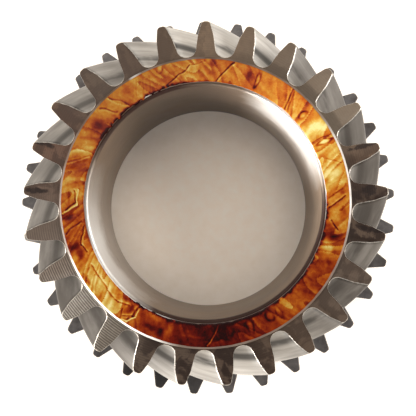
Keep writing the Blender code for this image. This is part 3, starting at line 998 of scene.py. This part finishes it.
# How much of a fold and of a streak shows in the tone and in the height
FOLD_TONE = 0.24
STREAK_TONE = 0.10
FOLD_HEIGHT = 0.2
STREAK_HEIGHT = 0.1
INNER_EDGE_SHADE_TONE = 0.8
INNER_EDGE_SHADE_WIDTH = 0.08  # as a share of the film's width


def layered(place, layers):
    """The sum of these layers of noise at a place."""
    return sum(amount * wavy(place, size, seed) for amount, size, seed in layers)


def turn_between(first, second):
    """How many degrees the first compass angle lies past the second, from -180 to 180."""
    return (first - second + 180) % 360 - 180


def along_stops(stops, angle):
    """The value at a compass angle in degrees, in a straight line between the stops round it."""
    for (start, value), (end, next_value) in zip(stops, stops[1:]):
        if start <= angle <= end:
            return value + (next_value - value) * (angle - start) / (end - start)
    return stops[0][1]


def signed_distance(place, start, end):
    """How far a place lies from a line, positive on the right of the way from start to end."""
    along = end - start
    share = (place - start).dot(along) / along.length_squared
    nearest = start + along * min(1.0, max(0.0, share))
    side = 1.0 if along.cross(place - start) < 0 else -1.0
    return side * (place - nearest).length


def leaning(angle, across, radius, lean, squeeze):
    """A place for noise whose features lean by this many degrees and run across the film."""
    turned = math.radians(angle + lean * (across - 0.5))
    return Vector((math.sin(turned), math.cos(turned), squeeze * across)) * radius


def patch_marks(angle, across):
    """The tone that the patches add to a place."""
    tone = 0.0
    for (centre, middle), length, half_width, lean, added in PATCHES:
        aside = turn_between(angle, centre)
        if abs(aside) < 3 * length + abs(lean):
            rise = (across - middle) / half_width
            run = (aside + lean * (across - middle)) / length
            tone += added * math.exp(-(run * run + rise * rise) ** 1.5)
    return tone


def crease_marks(angle, across, width, radius, spot):
    """(tone, height share) that the creases add to a place: partly painted shade in each valley, a painted
    highlight on its lip.
    """
    degree = math.radians(1) * radius
    strength = 0.8 + layered(spot, CREASE_NOISE)
    tone = 0.0
    height = 0.0
    for start, end, depth in CREASES:
        from_start = turn_between(angle, start[0])
        if not -CREASE_REACH < from_start < end[0] - start[0] + CREASE_REACH:
            continue
        place = Vector((from_start * degree, across * width))
        first = Vector((0, start[1] * width))
        last = Vector(((end[0] - start[0]) * degree, end[1] * width))
        aside = signed_distance(place, first, last) / CREASE_WIDTH
        depth *= strength
        valley = math.exp(-aside * aside)
        lip = math.exp(-((aside - 2.2) ** 2) / 1.6)
        # Dark valley: partly the film's fold, partly painted shade; paler lip: a painted highlight
        tone += depth * (valley - 0.3 * lip)
        height += abs(depth) * (0.4 * lip - 0.6 * valley)
    return tone, height


def loop_marks(angle, across, spot):
    """(tone, height share) that the drips and blisters add: a dark rim round a paler middle."""
    strength = 0.6 + layered(spot, LOOP_NOISE)
    tone = 0.0
    height = 0.0
    for (centre, middle), length, half_width, depth in LOOPS:
        aside = turn_between(angle, centre)
        if abs(aside) < 3 * length:
            reach = math.hypot(aside / length, (across - middle) / half_width)
            rim = math.exp(-(((reach - 1) / 0.28) ** 2)) * strength
            tone += depth * rim - 0.35 * abs(depth) * math.exp(-((reach / 0.6) ** 4))
            height += 0.35 * abs(depth) * rim
    return tone, height


def film_look(angle, across, width, radius):
    """(tone, height share) of the film at a compass angle in degrees and a share of its width."""
    middle_radius = radius + (0.5 - across) * width
    spot = leaning(angle, across, middle_radius, 0.0, 0.0) * (radius / middle_radius)
    # Folds and finer streaks that run across the film, but for the calm places
    fold_place = leaning(angle, across, middle_radius, 7.0 + layered(spot, FOLD_LEAN), 0.06)
    fold = layered(fold_place, FOLDS) % 1.0 - 0.5
    streak = layered(leaning(angle, across, middle_radius, 4.0, 0.03), STREAKS)
    calm = 0.0
    for centre, half_length in CALM_PLACES:
        calm += max(0.0, 1 - abs(turn_between(angle, centre)) / half_length)
    # Every mark's outline wanders a little
    angle += layered(spot, WANDER_ALONG)
    across += layered(spot, WANDER_ACROSS)
    tone = along_stops(FILM_TONES, angle % 360)
    contrast = 1 + 3 * max(0.0, 0.42 - tone)
    tone += contrast * (FOLD_TONE * fold + STREAK_TONE * streak) * (1 - min(1.0, calm))
    tone += layered(spot, MOTTLE)
    # Painted shade along the film's inner edge, in clumps
    inner_edge_shade = along_stops(INNER_EDGE_PAINTED_SHADE, angle % 360) * math.exp(-((across / INNER_EDGE_SHADE_WIDTH) ** 2))
    tone += INNER_EDGE_SHADE_TONE * inner_edge_shade * (1 + layered(spot, INNER_EDGE_SHADE_CLUMPS))
    tone += patch_marks(angle, across)
    height = 0.5 + layered(spot, BLISTERS) + FOLD_HEIGHT * fold + STREAK_HEIGHT * streak
    creases = crease_marks(angle, across, width, radius, spot)
    loops = loop_marks(angle, across, spot)
    tone += creases[0] + loops[0]
    height += creases[1] + loops[1]
    return min(1.0, max(0.0, tone)), min(1.0, max(0.05, height))


def front_film(materials):
    """The amber film on the front washer: a closed sheet with wrinkles and ragged rims."""
    low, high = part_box("front_thrust_washer")
    outer = (high.x - low.x) / 2 - FILM_EDGE
    inner = WASHER_INNER_RADIUS + FILM_LAP
    base = high.z - FILM_THICKNESS - FILM_LAP
    width = outer - inner
    rings = []
    tones = []
    for ring in range(FILM_RINGS + 1):
        across = ring / FILM_RINGS
        points = []
        for index in range(FILM_STEPS):
            angle = 360 * index / FILM_STEPS
            heading = Vector((math.sin(math.radians(angle)), math.cos(math.radians(angle)), 0))
            crumbs = 0.9 * along_stops(CRUMBS, angle) * max(0.0, wavy(heading * inner, 1.3 * MM, 24.0))
            inner_here = inner + (0.25 * max(0.0, wavy(heading * inner, 1.6 * MM, 9.0)) - crumbs) * MM
            outer_here = outer - 0.12 * MM * max(0.0, wavy(heading * outer, 1.9 * MM, 4.0))
            radius = inner_here + (outer_here - inner_here) * across
            tone, share = film_look(angle, across, width, radius)
            share *= min(1.0, 0.25 + min(across, 1 - across) / 0.04)
            height = base + FILM_LAP + FILM_THICKNESS * share
            points.append(heading * radius + Vector((0, 0, height)))
            tones.append(tone)
        rings.append(points)
    for edge_ring in (rings[-1], rings[0]):
        rings.append([Vector((point.x, point.y, base)) for point in edge_ring])
        tones += [FILM_RIM_TONE] * FILM_STEPS
    mesh = loft_mesh("front_film", rings)
    mesh.attributes.new("tone", "FLOAT", "POINT").data.foreach_set("value", tones)
    piece = new_object("front_film", mesh, [materials["amber"]], sharp_degrees=60)
    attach(piece, "sleeve_and_washers")


def sleeve(materials):
    """The inner race, with rounded bore mouths."""
    low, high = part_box("inner_sleeve")
    outer = (high.x - low.x) / 2
    inner = SLEEVE_BORE_RADIUS
    half_mouth = []
    for outwards, inwards in ((1.0, 0.0), (0.35, 0.45), (0.0, 1.4)):
        half_mouth.append((inner + SLEEVE_CHAMFER * outwards, SLEEVE_CHAMFER * inwards))
    rear_mouth = [(radius, low.z + depth) for radius, depth in half_mouth]
    front_mouth = [(radius, high.z - depth) for radius, depth in reversed(half_mouth)]
    profile = [
        (outer - EDGE_BREAK, high.z),
        (outer, high.z - EDGE_BREAK),
        (outer, low.z + EDGE_BREAK),
        (outer - EDGE_BREAK, low.z),
    ]
    profile += rear_mouth + front_mouth
    mesh = turned_mesh("inner_sleeve_fine", profile)
    fine_piece(mesh, [materials["bore"]], "sleeve_and_washers", "inner_sleeve")


def rollers_and_dowels(materials):
    """Needles and dowels, all of them round pins."""
    for node in sorted(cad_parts):
        if "_roller_" not in node and node not in DOWELS:
            continue
        mesh = pin_mesh(f"{node}_fine", *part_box(node))
        body = "gear_cluster" if node in DOWELS else f"{node}_body"
        fine_piece(mesh, [materials["needle"]], body, node)


def carried_over(materials):
    """CAD nodes whose shape is right as it is."""
    for node, finish in (
        ("rear_cage", "brass"),
        ("front_cage", "brass"),
        ("cage_spacer", "brass"),
        ("snap_ring", "dark"),
    ):
        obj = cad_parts[node]
        obj.data.materials.clear()
        obj.data.materials.append(materials[finish])


# ---------------------------------------------------------------- stage


def add_lamp(light, place, beam):
    """A lamp at this place that shines against the beam's direction."""
    lamp = bpy.data.objects.new(light.name, light)
    lamp.location = place
    lamp.rotation_mode = "QUATERNION"
    lamp.rotation_quaternion = (-beam).to_track_quat("-Z", "Y")
    bpy.context.scene.collection.objects.link(lamp)


def headings(compass_degrees, height_degrees):
    """(the way towards a compass angle along the floor, the way towards it at this height)."""
    side = math.radians(compass_degrees)
    rise = math.radians(height_degrees)
    flat = Vector((math.sin(side), math.cos(side), 0))
    return flat, flat * math.cos(rise) + Vector((0, 0, math.sin(rise)))


def build_world():
    """Even light from all round, which the camera sees as a paler backdrop."""
    world = bpy.data.worlds.new("studio")
    bpy.context.scene.world = world
    world.use_nodes = True
    tree = world.node_tree
    backdrop = tree.nodes["Background"]
    backdrop.inputs["Color"].default_value = WORLD_COLOUR
    seen = tree.nodes.new("ShaderNodeLightPath").outputs["Is Camera Ray"]
    strength = tree.nodes.new("ShaderNodeMapRange")
    strength.inputs["To Min"].default_value = WORLD_LIGHT
    strength.inputs["To Max"].default_value = WORLD_SEEN
    tree.links.new(seen, strength.inputs["Value"])
    tree.links.new(strength.outputs["Result"], backdrop.inputs["Strength"])


def build_stage():
    """The floor, the lights and the camera."""
    shape = bmesh.new()
    bmesh.ops.create_grid(shape, x_segments=2, y_segments=2, size=FLOOR_HALF_WIDTH)
    floor = new_object("floor", mesh_from(shape, "floor"), [pale_floor()])
    floor.location.z = cad_low.z - FLOOR_DROP

    build_world()
    for name, compass_degrees, height_degrees, size, power in LAMPS:
        _, beam = headings(compass_degrees, height_degrees)
        light = bpy.data.lights.new(name, "AREA")
        light.size = size
        light.energy = power
        add_lamp(light, beam * LAMP_DISTANCE, beam)
    for name, compass_degrees, height_degrees, depth, power in BORE_LAMPS:
        flat, beam = headings(compass_degrees, height_degrees)
        target = Vector((0, 0, cad_high.z - depth)) - flat * RACEWAY_RADIUS
        light = bpy.data.lights.new(name, "SPOT")
        light.energy = power
        light.spot_size = BORE_LAMP_CONE
        light.spot_blend = 1.0
        light.shadow_soft_size = BORE_LAMP_RADIUS
        add_lamp(light, target + beam * BORE_LAMP_DISTANCE, beam)

    camera = bpy.data.objects.new("camera", bpy.data.cameras.new("camera"))
    camera.data.angle = FIELD_OF_VIEW
    camera.data.clip_start = NEAREST_SEEN
    camera.location = CAMERA_PLACE
    back = -CAMERA_SLOPE.normalized()
    right = Vector((0, 1, 0)).cross(back).normalized()
    up = back.cross(right)
    camera.rotation_euler = Matrix((right, up, back)).transposed().to_euler()
    bpy.context.scene.collection.objects.link(camera)
    bpy.context.scene.camera = camera
    bpy.context.scene.view_settings.view_transform = "Standard"


def main():
    materials = {
        "face": face_steel(),
        "burr_and_highlight": burr_and_highlight_steel(),
        "flank": flank_steel(),
        "ground": ground_steel("ground_steel", (120, 112, 104), (168, 160, 150)),
        "chamfer": chamfer_steel(),
        "bore": bore_steel(),
        "needle": ground_steel("needle_steel", (176, 176, 176), (214, 214, 214), 0.14),
        "dark": dark_tooth_steel(),
        "amber": amber_film(),
        "brass": cage_brass(),
    }
    build_stage()
    helical_gear(materials)
    ring_gear(materials)
    washers(materials)
    front_film(materials)
    sleeve(materials)
    rollers_and_dowels(materials)
    carried_over(materials)


main()
